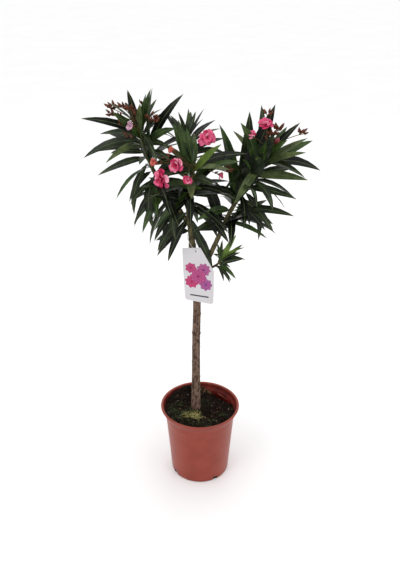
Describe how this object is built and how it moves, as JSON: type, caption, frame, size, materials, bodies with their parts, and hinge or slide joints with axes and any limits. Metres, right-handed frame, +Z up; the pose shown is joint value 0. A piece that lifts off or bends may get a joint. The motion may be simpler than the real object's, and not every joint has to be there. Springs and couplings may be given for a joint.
{
  "type": "potted oleander",
  "caption": "Young oleander grown as a small standard tree in a moulded nursery pot, with pink blooms and a hanging plant label.",
  "frame": {"origin": "centre of the pot's flat underside, at the level of the surface it stands on", "axes": "+Z up along the pot's axis, -Y the front with the label, +X to the right seen from the front"},
  "size_m": [0.4861, 0.2803, 0.9411],
  "materials": {
    "pot_plastic": "satin",
    "compost": "matte",
    "bark": "matte",
    "leaf": "satin",
    "bloom": "matte",
    "label": "satin",
    "label_loop": "satin"
  },
  "bodies": {
    "root": {"pot": "pot_plastic", "compost": "compost", "trunk": "bark", "bough_front": "bark", "bough_left": "bark", "bough_back": "bark", "bough_right": "bark", "side_shoot": "bark", "label_card": "label", "label_loop": "label_loop", "foliage_left": "leaf", "foliage_right": "leaf", "foliage_front": "leaf", "foliage_back": "leaf", "foliage_middle": "leaf", "foliage_right_lower": "leaf", "foliage_side_shoot": "leaf"}
  },
  "joints": []
}
